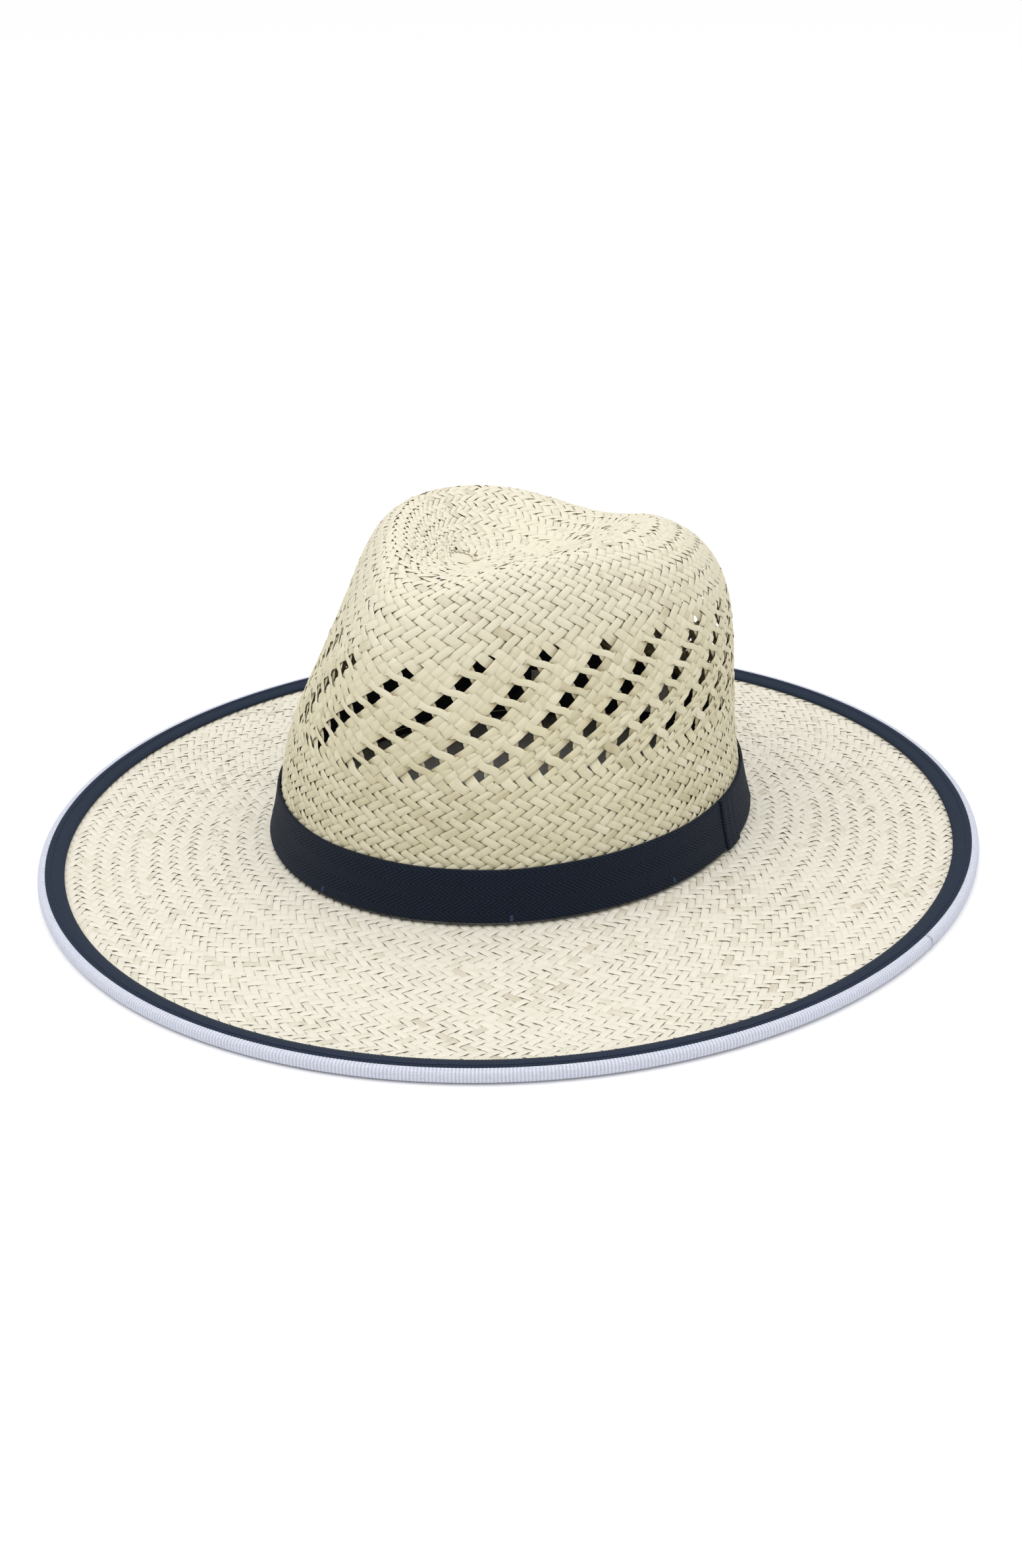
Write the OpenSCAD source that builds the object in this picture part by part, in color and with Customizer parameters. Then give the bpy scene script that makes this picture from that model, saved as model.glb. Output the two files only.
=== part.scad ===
// Woven straw fedora: creased crown, flat brim, tape band and bound edge.
// Millimetres, +Z up. The front of the hat points to -Y and the wearer's left to +X.
// Z = 0 is the flat ring on which the bound brim edge stands.

/* [Head size] */
// Length of the crown at its base, front to back
head_len = 206; // [196:1:216]
// Width of the crown at its base, side to side
head_wid = 183; // [174:1:192]

/* [Crown] */
// Height of the crown block above the brim joint
crown_h = 123.5; // [112:0.5:132]
// Thickness of the woven crown
crown_wall = 1.4; // [1.2:0.1:1.6]
// Squareness of the shoulder, larger is squarer
shoulder = 5; // [4:0.5:6]
// Depth of the teardrop crease in the top
crease_depth = 16; // [8:1:18]
// Share of the width that the front pinch takes away
front_pinch = 0.48; // [0.3:0.02:0.5]
// Drop of the top towards the back
back_drop = 12.5; // [8:0.5:15]

/* [Vents] */
// Slanted lines of vent holes round the crown
vent_lines = 24; // [24]
// Holes in each slanted line
vent_rows = 9; // [7:1:9]
// Sideways lean of a vent line, in degrees round the crown
vent_lean = 34; // [28:1:40]

/* [Brim] */
// Width of the brim with its binding
brim_w = 91.5; // [80:0.5:95]
// Thickness of the woven brim
brim_t = 1.4; // [1.2:0.1:1.6]
// Height of the crown joint above the resting plane
joint_z = 10.6; // [9.6:0.1:14]

/* [Band and trim] */
// Height of the tape band
band_h = 19; // [15:0.5:20]
// Width of the loop that covers the band's ends
loop_w = 13; // [10:0.5:16]
// Width of the ribbon on the brim edge
ribbon_w = 6.5; // [5:0.5:8]
// Height of the sweatband
sweat_h = 32; // [26:1:34]

/* [Hidden] */

straw = [0.90, 0.87, 0.76];
navy = [0.10, 0.15, 0.27];
white = [0.93, 0.94, 0.97];
thread = [0.85, 0.83, 0.78];

half_len = head_len / 2;
half_wid = head_wid / 2;
tape_t = 1.1;            // thickness of the hat band
fit = 0.15;              // air between layers that lie on each other
collar_h = 14;           // part of the brim that stands up inside the crown
collar_out = -crown_wall - fit;
collar_in = collar_out - 1.2;
sweat_out = collar_in - 0.35;
sweat_in = sweat_out - 1.0;

// ---- the oval and the columns that every ring shares ----

line_step = 360 / vent_lines;
hole_step = 3.0;         // degrees taken by one vent hole
rest_step = (line_step - hole_step) / 2;
columns = [for (k = [0 : vent_lines - 1])
           for (o = [0, hole_step, hole_step + rest_step])
           k * line_step + o];
n_col = len(columns);

// Angle on the oval for an even step along its edge.
function oval_angle(a) = a - 1.7 * sin(2 * a);

function clamp(x, lo, hi) = min(max(x, lo), hi);

function ease(lo, hi, x) =
    let (t = clamp((x - lo) / (hi - lo), 0, 1)) t * t * (3 - 2 * t);

// Width of the wall at height h above the joint, as a share of the base.
function wall_scale(h) = h <= 0 ? 1 : 0.975 - 0.0011 * h + 0.025 * exp(-h / 9);

// Point outside the base oval by off, at height z, following the wall's lean.
function ring_pt(a, off, z) =
    let (t = oval_angle(a), s = wall_scale(z - joint_z))
    [(half_wid * s + off) * cos(t), (half_len * s + off) * sin(t), z];

// Height of the middle of the brim sheet at distance d from the crown.
dip_d = 68;
dip_z = 1.3;
edge_d = brim_w - 4.1;   // where the woven sheet ends, inside the binding
flat_d = 80;             // from here to the edge the sheet is straight
function lift(d) = dip_z + 0.0046 * pow(d - dip_d, 2);
function brim_mid(d) =
    d < dip_d ? dip_z + (joint_z - 0.9 - dip_z) * pow(1 - max(d, 0) / dip_d, 1.6)
    : d < flat_d ? lift(d)
    : lift(flat_d) + (lift(edge_d) - lift(flat_d)) * (d - flat_d) / (edge_d - flat_d);
function brim_top(d) = brim_mid(d) + brim_t / 2;
function brim_under(d) = brim_mid(d) - brim_t / 2;

// ---- sweeping a section round the oval ----

function ring_faces(n, m, closed) = concat(
    [for (a = [0 : n - (closed ? 1 : 2)]) for (s = [0 : m - 1])
        let (b = (a + 1) % n, s1 = (s + 1) % m)
        [a * m + s, a * m + s1, b * m + s1, b * m + s]],
    closed ? [] : concat(end_faces(m, 0, true), end_faces(m, (n - 1) * m, false)));

// Cut end of a swept section: a strip of flat quads when the count is even, else one face.
function end_faces(m, b, first) =
    m % 2 == 0
    ? [for (k = [0 : m / 2 - 2])
        let (q = [b + k + 1, b + k + 2, b + m - k - 1, b + (m - k) % m])
        first ? [q[3], q[2], q[1], q[0]] : q]
    : first ? [[for (s = [m - 1 : -1 : 0]) b + s]]
    : [[for (s = [0 : m - 1]) b + s]];

// Closed ring from a counter-clockwise section of [offset, height] pairs.
module ring(section) {
    polyhedron(
        points = [for (a = columns) for (p = section) ring_pt(a, p[0], p[1])],
        faces = ring_faces(n_col, len(section), true), convexity = 8);
}

// Part of a ring between two angles, with the shared columns in between and any extra angles after them.
module arc_ring(section, from, to, extra = []) {
    turns = [for (k = [-1 : 1]) for (a = columns) a + 360 * k];
    stop = len(extra) > 0 ? extra[0] : to;
    angles = concat([from], [for (a = turns) if (a > from + 0.4 && a < stop - 0.4) a], extra, [to]);
    polyhedron(
        points = [for (a = angles) for (p = section) ring_pt(a, p[0], p[1])],
        faces = ring_faces(len(angles), len(section), false), convexity = 8);
}

// Small box section.
function box_section(off, z, w, h) = [[off, z], [off + w, z], [off + w, z + h], [off, z + h]];

// ---- crown ----

tip_x = -14;             // the weave's centre is pulled off the middle by the crease
tip_y = -21;
vent_low = 0.415;        // lowest vent, as a share of the crown height
vent_pitch = 0.36 / vent_rows;
hole_share = 0.75;       // share of the pitch that is open

function shoulder_round(s) = pow(1 - pow(s, shoulder), 1 / shoulder);

// Rows of the crown grid: [height share, width share, lean in degrees, row of holes?].
vent_top = vent_low + vent_pitch * vent_rows;
low_rows = [[0, 1, 0, 0], [6 / crown_h, 1, 0, 0], [14 / crown_h, 1, 0, 0],
            [24 / crown_h, 1, 0, 0]];
vent_grid = [for (k = [0 : vent_rows - 1]) for (o = [0, hole_share])
    let (zr = vent_low + vent_pitch * (k + o))
    [zr, shoulder_round(zr), vent_lean * (k + o) / vent_rows, o == 0 ? 1 : 0]];
top_widths = [0.9366, 0.875, 0.78, 0.66, 0.52, 0.36, 0.19];
top_rows = [for (w = top_widths)
    w > 0.93 ? [vent_top, shoulder_round(vent_top), vent_lean, 0]
             : [shoulder_round(w), w, vent_lean, 0]];
rows = concat(low_rows, vent_grid, top_rows);
n_row = len(rows);

// Outer surface of the crown, at an angle, a height share and a width share.
function crown_pt(a, zr, rr) =
    let (t = oval_angle(a),
         h = crown_h * zr,
         square = 0.09 * ease(30, 110, h) * pow(sin(2 * t), 2) * rr * (sin(t) > 0 ? 1 : 0),
         rho = rr * (0.975 - 0.0011 * h + 0.025 * exp(-h / 9)) * (1 + square),
         pull = pow(1 - rr, 2.5),
         u = rho * cos(t) + tip_x * pull / half_wid,
         v = rho * sin(t) + tip_y * pull / half_len,
         back = pow(clamp(v + 0.1, 0, 1.2), 1.585) / 0.72
                * (0.3 + 0.7 * exp(-pow(u / 0.42, 2))),
         front = pow(clamp(-v - 0.2, 0, 1), 2) / 0.36,
         q = sqrt(pow(u / 0.56, 2) + pow((v + 0.02) / 0.70, 2)),
         z = h - zr * zr * (back_drop * back + 3 * front)
             - crease_depth * pow(clamp(1 - q * q, 0, 1), 1.5) * ease(0.5, 0.9, zr),
         pinch = front_pinch * ease(24.7, 117, z) * ease(-0.278, 0.784, -v))
    [u * half_wid * (1 - pinch), v * half_len, z + joint_z];

crown_out = [for (r = rows) [for (a = columns) crown_pt(a + r[2], r[0], r[1])]];
crown_tip = crown_pt(0, 1, 0);

// Outward normal from the neighbouring grid points.
function grid_normal(i, j) =
    let (du = crown_out[i][(j + 1) % n_col] - crown_out[i][(j + n_col - 1) % n_col],
         up = i == n_row - 1 ? crown_tip : crown_out[i + 1][j],
         down = crown_out[max(i - 1, 0)][j],
         n = cross(du, up - down))
    n / norm(n);

function split_quad(c) = [[c[0], c[1], c[2]], [c[0], c[2], c[3]]];

module crown() {
    wall_in = [for (i = [0 : n_row - 1]) for (j = [0 : n_col - 1])
               crown_out[i][j] - crown_wall * grid_normal(i, j)];
    wall_out = [for (row = crown_out) for (p = row) p];
    half = n_row * n_col;
    tip_out = 2 * half;
    tip_in = tip_out + 1;
    top = (n_row - 1) * n_col;
    cells = [for (i = [0 : n_row - 2]) for (j = [0 : n_col - 1])
             let (k = (j + 1) % n_col)
             [[i * n_col + j, (i + 1) * n_col + j, (i + 1) * n_col + k, i * n_col + k],
              rows[i][3] == 1 && j % 3 == 0]];
    solid_cells = [for (c = cells) if (!c[1]) for (tri = split_quad(c[0])) tri];
    open_cells = [for (c = cells) if (c[1]) c[0]];
    color(straw)
        polyhedron(
            points = concat(wall_out, wall_in, [crown_tip, crown_tip - [0, 0, crown_wall]]),
            faces = concat(
                solid_cells,
                [for (c = solid_cells) [for (k = [2 : -1 : 0]) c[k] + half]],
                [for (c = open_cells) for (k = [0 : 3])
                    let (m = (k + 1) % 4) [c[k], c[m], c[m] + half, c[k] + half]],
                [for (j = [0 : n_col - 1]) let (k = (j + 1) % n_col)
                    [j, k, k + half, j + half]],
                [for (j = [0 : n_col - 1]) let (k = (j + 1) % n_col)
                    [top + k, top + j, tip_out]],
                [for (j = [0 : n_col - 1]) let (k = (j + 1) % n_col)
                    [top + j + half, top + k + half, tip_in]]),
            convexity = 10);
}

// Thread that joins the crown to the brim's collar, on the collar's inner face.
module crown_seam_stitching() {
    color(thread)
        ring([[collar_in - 0.12, joint_z + 9.8], [collar_in, joint_z + 9.6],
              [collar_in, joint_z + 10.0]]);
}

// ---- brim ----

spots = [4, 14, 30, 48, 66, flat_d];

module brim() {
    color(straw)
        ring(concat(
            [[collar_in, joint_z + collar_h], [collar_in, joint_z + 0.4],
             [collar_in + 0.6, joint_z - 1.3]],
            [for (k = [0 : len(spots) - 1]) [spots[k], brim_under(spots[k])]],
            [[edge_d, brim_under(edge_d)], [edge_d, brim_top(edge_d)]],
            [for (k = [len(spots) - 1 : -1 : 0]) [spots[k], brim_top(spots[k])]],
            [[0.6, joint_z - 0.55], [collar_out, joint_z - 0.55],
             [collar_out - 0.1, joint_z + 6], [collar_out, joint_z + collar_h]]));
}

// ---- hat band ----

band_z = joint_z + 0.8;
loop_at = 10;            // degrees: the wearer's left, a little to the back
loop_half = loop_w / 2 / 1.72;

module hat_band() {
    color(navy)
        arc_ring([[fit, band_z], [fit + tape_t, band_z], [fit + tape_t, joint_z + 6],
                  [fit + tape_t, joint_z + 14], [fit + tape_t, band_z + band_h],
                  [fit, band_z + band_h], [fit, joint_z + 14], [fit, joint_z + 6]],
                 loop_at + 0.3, loop_at + 359.7);
}

// Short piece of the same tape, folded over the band's edges.
module band_loop() {
    far = fit + tape_t + fit;
    low = band_z - 0.45;
    high = band_z + band_h + 0.45;
    color(navy)
        arc_ring([[fit, low + 0.3], [fit, low - 0.1], [far + 0.9, low - 0.1],
                  [far + 0.9, joint_z + 14], [far + 0.9, high + 0.5], [fit, high + 0.5],
                  [fit, high], [far, high], [far, joint_z + 14], [far, low + 0.3]],
                 loop_at - loop_half, loop_at + loop_half);
}

// Bar tacks that hold the band's lower edge down to the crown joint.
tack_angles = [35, 80, 125, 170, 215, 260, 305, 345];
module band_tack_stitches() {
    color(navy)
        for (a = tack_angles)
            arc_ring([[fit + tape_t + 0.1, band_z + 0.4], [fit + tape_t + 0.4, band_z + 0.6],
                      [fit + tape_t + 0.4, band_z + 2.4], [fit + tape_t + 0.1, band_z + 2.6]],
                     a - 0.35, a + 0.35);
}

// ---- brim edge: binding, wire, ribbon ----

bind_t = 0.6;            // thickness of the binding tape
roll_d = brim_w - 2.3;   // middle of the rolled edge
wire_r = 1.25;
wire_z = brim_mid(edge_d) - 0.1;
ribbon_t = 0.6;
ribbon_out = brim_w - 3.5;
leg_d = ribbon_out - ribbon_w + 0.9; // where both legs of the folded tape end

module edge_binding() {
    roof = brim_top(edge_d) + bind_t;
    color(white)
        ring([[leg_d, brim_under(leg_d) - bind_t], [edge_d - 0.8, 0.9],
              [edge_d + 0.4, 0], [brim_w - 1.5, 0],
              [brim_w - 0.3, 1.2], [brim_w, 2.8],
              [brim_w - 0.4, 4.4], [brim_w - 1.4, roof + 1.0], [roll_d - 0.2, roof + 1.1],
              [edge_d + 0.45, roof], [leg_d, brim_top(leg_d) + bind_t],
              [leg_d, brim_top(leg_d) + 0.03], [edge_d + 0.1, brim_top(edge_d) + 0.08],
              [roll_d + 0.6, wire_z + 1.75], [roll_d + 1.45, wire_z],
              [roll_d + 0.4, wire_z - 1.6], [edge_d + 0.1, brim_under(edge_d) - 0.08],
              [leg_d, brim_under(leg_d) - 0.03]]);
}

// Spring wire that keeps the brim edge in shape, with its ends in a joiner at the back.
function round_section(off, z, r, n) = [for (k = [0 : n - 1])
    [off + r * cos(360 * k / n), z + r * sin(360 * k / n)]];
joiner_half = 3.0;
module brim_wire() {
    color("silver")
        arc_ring(round_section(roll_d - 0.1, wire_z, 0.7, 6), 90 + 0.4, 450 - 0.4, [446.5, 448]);
}

module wire_joiner() {
    outer = round_section(roll_d - 0.1, wire_z, 1.02, 8);
    inner = round_section(roll_d - 0.1, wire_z, 0.84, 8);
    m = 8;
    turns = [for (k = [-2 : 2]) 90 + k * joiner_half / 2];
    pts = concat([for (a = turns) for (p = outer) ring_pt(a, p[0], p[1])],
                 [for (a = turns) for (p = inner) ring_pt(a, p[0], p[1])]);
    n = len(turns);
    h = n * m;
    color("silver")
        polyhedron(points = pts, faces = concat(
            [for (a = [0 : n - 2]) for (s = [0 : m - 1]) let (t = (s + 1) % m)
                [a * m + s, a * m + t, (a + 1) * m + t, (a + 1) * m + s]],
            [for (a = [0 : n - 2]) for (s = [0 : m - 1]) let (t = (s + 1) % m)
                [h + a * m + t, h + a * m + s, h + (a + 1) * m + s, h + (a + 1) * m + t]],
            [for (s = [0 : m - 1]) let (t = (s + 1) % m) [t, s, h + s, h + t]],
            [for (s = [0 : m - 1]) let (t = (s + 1) % m, e = (n - 1) * m)
                [e + s, e + t, h + e + t, h + e + s]]),
            convexity = 4);
}

module brim_ribbon() {
    inn = ribbon_out - ribbon_w;
    color(navy)
        ring([[inn, brim_top(inn) + 0.05], [leg_d - 0.4, brim_top(leg_d) + 0.05],
              [leg_d - 0.15, brim_top(leg_d) + bind_t + 0.1],
              [ribbon_out, brim_top(edge_d) + bind_t + 0.2],
              [ribbon_out, brim_top(edge_d) + bind_t + ribbon_t + 0.2],
              [leg_d, brim_top(leg_d) + bind_t + ribbon_t],
              [inn, brim_top(inn) + ribbon_t]]);
}

// Top thread on the ribbon, and the thread below that locks it.
module ribbon_stitching() {
    d = ribbon_out - 1.4;
    zt = brim_top(edge_d) + bind_t + ribbon_t + 0.22;
    slope = (zt - (brim_top(leg_d) + bind_t + ribbon_t)) / (ribbon_out - leg_d);
    z = zt - 1.4 * slope;
    color(navy)
        ring([[d, z], [d + 0.4, z + 0.4 * slope], [d + 0.2, z + 0.35]]);
}

// Thread along the inner edge of the binding's lower leg.
module binding_stitching() {
    d = leg_d + 1.0;
    z0 = brim_under(leg_d) - bind_t;
    slope = (0.9 - z0) / (edge_d - 0.8 - leg_d);
    z = z0 + slope;
    color(white)
        ring([[d, z], [d + 0.2, z - 0.25], [d + 0.4, z + 0.4 * slope]]);
}

// ---- sweatband ----

sweat_z = joint_z - 0.6;
module sweatband() {
    color([0.16, 0.16, 0.18])
        arc_ring([[sweat_in - 0.3, sweat_z], [sweat_out, sweat_z],
                  [sweat_out, joint_z + 6], [sweat_out, joint_z + 14],
                  [sweat_out, sweat_z + sweat_h], [sweat_in, sweat_z + sweat_h],
                  [sweat_in, joint_z + 14], [sweat_in, joint_z + 6],
                  [sweat_in - 0.3, sweat_z + 2.0]],
                 90 + 0.25, 450 - 0.25);
}

// Tape sewn over the butted ends of the sweatband at the back.
module sweatband_join_tape() {
    color([0.20, 0.20, 0.22])
        arc_ring([[sweat_in - 0.8, sweat_z + 3.5], [sweat_in - 0.35, sweat_z + 3.5],
                  [sweat_in - 0.35, joint_z + 6], [sweat_in - 0.35, joint_z + 14],
                  [sweat_in - 0.35, sweat_z + sweat_h - 1],
                  [sweat_in - 0.8, sweat_z + sweat_h - 1], [sweat_in - 0.8, joint_z + 14],
                  [sweat_in - 0.8, joint_z + 6]],
                 90 - 2.4, 90 + 2.4);
}

module sweatband_stitching() {
    z = joint_z + 3.2;
    color(thread)
        ring([[sweat_in - 1.3, z], [sweat_in - 1.0, z - 0.25], [sweat_in - 1.0, z + 0.25]]);
}

// ---- labels, all blank ----

// Flat cloth label on the sweatband's inner face.
module band_label(at, half_deg, low, high, far) {
    arc_ring([[sweat_in - far - 0.35, joint_z + low], [sweat_in - far, joint_z + low],
              [sweat_in - far, joint_z + high], [sweat_in - far - 0.35, joint_z + high]],
             at - half_deg, at + half_deg);
}

module brand_label() {
    color([0.86, 0.84, 0.78])
        band_label(270, 11, 8, 24, 0.45);
}

module size_label() {
    color([0.92, 0.92, 0.90])
        band_label(116, 4, 11, 23, 0.3);
}

// Thread along the two short sides of each sewn label.
module label_stitches() {
    color(thread)
        for (s = [[270 - 10.6, 9, 23, 0.45], [270 + 10.2, 9, 23, 0.45],
                  [116 - 3.7, 12, 22, 0.3], [116 + 3.3, 12, 22, 0.3]])
            arc_ring([[sweat_in - s[3] - 0.55, joint_z + s[1]], [sweat_in - s[3] - 0.38, joint_z + s[1]],
                      [sweat_in - s[3] - 0.38, joint_z + s[2]],
                      [sweat_in - s[3] - 0.55, joint_z + s[2]]],
                     s[0], s[0] + 0.4);
}

// The care label hangs from a folded tab sewn to the sweatband at the back left.
label_w = 16;
label_len = 15;
label_t = 0.4;
flip_y = half_len * wall_scale(22) + sweat_in - 5.2;
flip_z = joint_z + 27;
label_x = 12;

module care_label_tab() {
    color(thread)
        translate([label_x - label_w / 2 + 1, flip_y + 1.0, flip_z - 0.3])
            cube([label_w - 2, 0.7, 0.6]);
}

module care_label() {
    color([0.94, 0.94, 0.93])
        translate([label_x - label_w / 2, flip_y - label_t / 2, flip_z - label_len])
            cube([label_w, label_t, label_len]);
}

crown();
brim();
crown_seam_stitching();
hat_band();
band_loop();
band_tack_stitches();
brim_ribbon();
ribbon_stitching();
edge_binding();
binding_stitching();
brim_wire();
wire_joiner();
sweatband();
sweatband_join_tape();
sweatband_stitching();
brand_label();
size_label();
label_stitches();
care_label_tab();
care_label();
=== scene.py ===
import math

import bmesh
import bpy
import numpy as np
from mathutils import Matrix, Vector


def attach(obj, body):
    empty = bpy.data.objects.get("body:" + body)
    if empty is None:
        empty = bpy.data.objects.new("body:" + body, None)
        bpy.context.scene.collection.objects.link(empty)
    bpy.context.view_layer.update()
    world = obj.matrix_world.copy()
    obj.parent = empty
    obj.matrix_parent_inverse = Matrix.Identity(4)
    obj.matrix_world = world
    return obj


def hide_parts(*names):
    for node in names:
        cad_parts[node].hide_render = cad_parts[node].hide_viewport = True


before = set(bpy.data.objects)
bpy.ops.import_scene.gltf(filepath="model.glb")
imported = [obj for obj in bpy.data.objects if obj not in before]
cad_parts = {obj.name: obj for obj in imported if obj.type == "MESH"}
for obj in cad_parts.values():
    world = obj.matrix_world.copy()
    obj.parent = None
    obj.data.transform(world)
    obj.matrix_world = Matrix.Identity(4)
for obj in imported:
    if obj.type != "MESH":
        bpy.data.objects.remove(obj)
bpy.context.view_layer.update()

# ------------------------------------------------------ the hat's shape, in millimetres and degrees
# Angles run round the hat: 0 is the wearer's left (+X) and 270 the front (-Y).
HALF_LEN, HALF_WID = 103.0, 91.5    # base of the crown
CROWN_H, SHOULDER = 123.5, 5.0
JOINT_Z = 10.6                      # where crown and brim meet
BRIM_W, BRIM_T = 91.5, 1.4
EDGE_D, DIP_D, DIP_Z = BRIM_W - 4.1, 68.0, 1.3
TIP_X, TIP_Y = -14.0, -21.0
RNG = np.random.default_rng(7)


def ease(lo, hi, x):
    t = np.clip((np.asarray(x, float) - lo) / (hi - lo), 0, 1)
    return t * t * (3 - 2 * t)


def oval(a):
    return np.radians(a) - np.radians(1.7) * np.sin(2 * np.radians(a))


def wall_scale(h):
    h = np.asarray(h, float)
    return np.where(h <= 0, 1.0, 0.975 - 0.0011 * h + 0.025 * np.exp(-np.maximum(h, 0) / 9))


def ring_pt(a, off, z):
    t, s = oval(a), wall_scale(np.asarray(z) - JOINT_Z)
    x, y = (HALF_WID * s + off) * np.cos(t), (HALF_LEN * s + off) * np.sin(t)
    return np.stack(np.broadcast_arrays(x, y, z), -1)


def lift(d):
    return DIP_Z + 0.0046 * (d - DIP_D) ** 2


def brim_mid(d):
    d = np.asarray(d, float)
    dip = DIP_Z + (JOINT_Z - 0.9 - DIP_Z) * np.maximum(1 - np.maximum(d, 0) / DIP_D, 0) ** 1.6
    slope = (lift(EDGE_D) - lift(80.0)) / (EDGE_D - 80.0)
    return np.where(d < DIP_D, dip, np.where(d < 80.0, lift(d), lift(80.0) + slope * (d - 80.0)))


def crown_pt(a, zr, rr):
    """Outer surface of the crown at an angle, a height share and the width share that belongs to it."""
    t, h = oval(a), CROWN_H * zr
    square = 0.09 * ease(30, 110, h) * np.sin(2 * t) ** 2 * rr * (np.sin(t) > 0)
    rho = rr * (0.975 - 0.0011 * h + 0.025 * np.exp(-h / 9)) * (1 + square)
    pull = (1 - rr) ** 2.5
    u = rho * np.cos(t) + TIP_X * pull / HALF_WID
    v = rho * np.sin(t) + TIP_Y * pull / HALF_LEN
    back = np.clip(v + 0.1, 0, 1.2) ** 1.585 / 0.72 * (0.3 + 0.7 * np.exp(-(u / 0.42) ** 2))
    front = np.clip(-v - 0.2, 0, 1) ** 2 / 0.36
    q2 = (u / 0.56) ** 2 + ((v + 0.02) / 0.70) ** 2
    z = h - zr ** 2 * (12.5 * back + 3 * front) - 16 * np.clip(1 - q2, 0, 1) ** 1.5 * ease(0.5, 0.9, zr)
    pinch = 0.48 * ease(24.7, 117, z) * ease(-0.278, 0.784, -v)
    return np.stack([u * HALF_WID * (1 - pinch), v * HALF_LEN, z + JOINT_Z], -1)


# The crown is walked by its mean slant length from the base, and round it by true distance along each ring.
steps = np.linspace(0, 0.8, 161)
widths = np.linspace((1 - 0.8 ** SHOULDER) ** (1 / SHOULDER), 0, 301)[1:]
ZR = np.r_[steps, (1 - widths ** SHOULDER) ** (1 / SHOULDER)]
RR = np.r_[(1 - steps ** SHOULDER) ** (1 / SHOULDER), widths]
spread = np.arange(0, 360, 1.0)
grid = crown_pt(spread[None, :], ZR[:, None], RR[:, None])
SLANT = np.r_[0, np.cumsum(np.linalg.norm(np.diff(grid, axis=0), axis=-1).mean(1))]
SLANT_END = SLANT[-1]
FRONT_SPREAD, SIDE_SPREAD = 0.22, 0.03    # vent lines stand a little wider apart over the front pinch


def ring_table():
    """How far the plain angle runs ahead of the even-distance angle, on each ring."""
    slants = np.arange(0, SLANT_END - 1.0, 2.0)
    fine = np.linspace(-90, 270, 1441)
    want = np.arange(-90, 270, 1.0)
    rows, lengths = [], []
    for s in slants:
        ring = crown_pt(fine, np.interp(s, SLANT, ZR), np.interp(s, SLANT, RR))
        run = np.r_[0, np.cumsum(np.linalg.norm(np.diff(ring, axis=0), axis=-1))]
        lengths.append(run[-1])
        turn = np.radians(want + 90)
        push = FRONT_SPREAD * np.sin(turn) + SIDE_SPREAD * np.sin(2 * turn)
        pushed = want + np.degrees(ease(45, 75, s) * push)
        rows.append(np.interp(pushed, -90 + 360 * run / run[-1], fine) - want)
    return slants, np.array(rows), np.array(lengths)


RING_SLANT, RING_AHEAD, RING_LENGTH = ring_table()


def crown_surface(psi, slant):
    """Point of the crown's outer surface, in millimetres."""
    x = np.mod(np.asarray(psi, float) + 90, 360)
    y = np.clip(np.asarray(slant, float) / 2.0, 0, len(RING_SLANT) - 1.001)
    i, j = np.floor(y).astype(int), np.floor(x).astype(int)
    fy, fx = y - i, x - j
    j0, j1 = j % 360, (j + 1) % 360
    ahead = ((RING_AHEAD[i, j0] * (1 - fx) + RING_AHEAD[i, j1] * fx) * (1 - fy)
             + (RING_AHEAD[i + 1, j0] * (1 - fx) + RING_AHEAD[i + 1, j1] * fx) * fy)
    return crown_pt(psi + ahead, np.interp(slant, SLANT, ZR), np.interp(slant, SLANT, RR))


def brim_surface(psi, d):
    return ring_pt(psi, d, brim_mid(d))


# ------------------------------------------------------------------ strands
STRAW_T = 0.42          # thickness of a paper straw strand
WAVE = 0.40             # how far a strand's middle rides above or below the sheet
SHARE = 0.95            # width of a strand, as a share of the room that the weave gives it
WIDEST = 2.05           # largest half width of a strand
GRAIN_STEP = 7.31       # keeps the fibre patterns of neighbouring strands apart
TOP_LIGHT_SLANTS = (62, 140)    # slants between which the crown's straw goes from its plain colour to a lighter one: painted top light, standing in for the light that falls on the upper crown
# A strand's section: places across it, and how far each rides above its middle.
SIDE = np.array([-1.0, -0.84, 0.0, 0.84, 1.0])
ROLL = np.array([-0.50, -0.06, 0.12, -0.06, -0.50])


def steep(f):
    return ease(0.0, 1.0, np.clip((f - 0.5) * 1.5 + 0.5, 0, 1))


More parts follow.
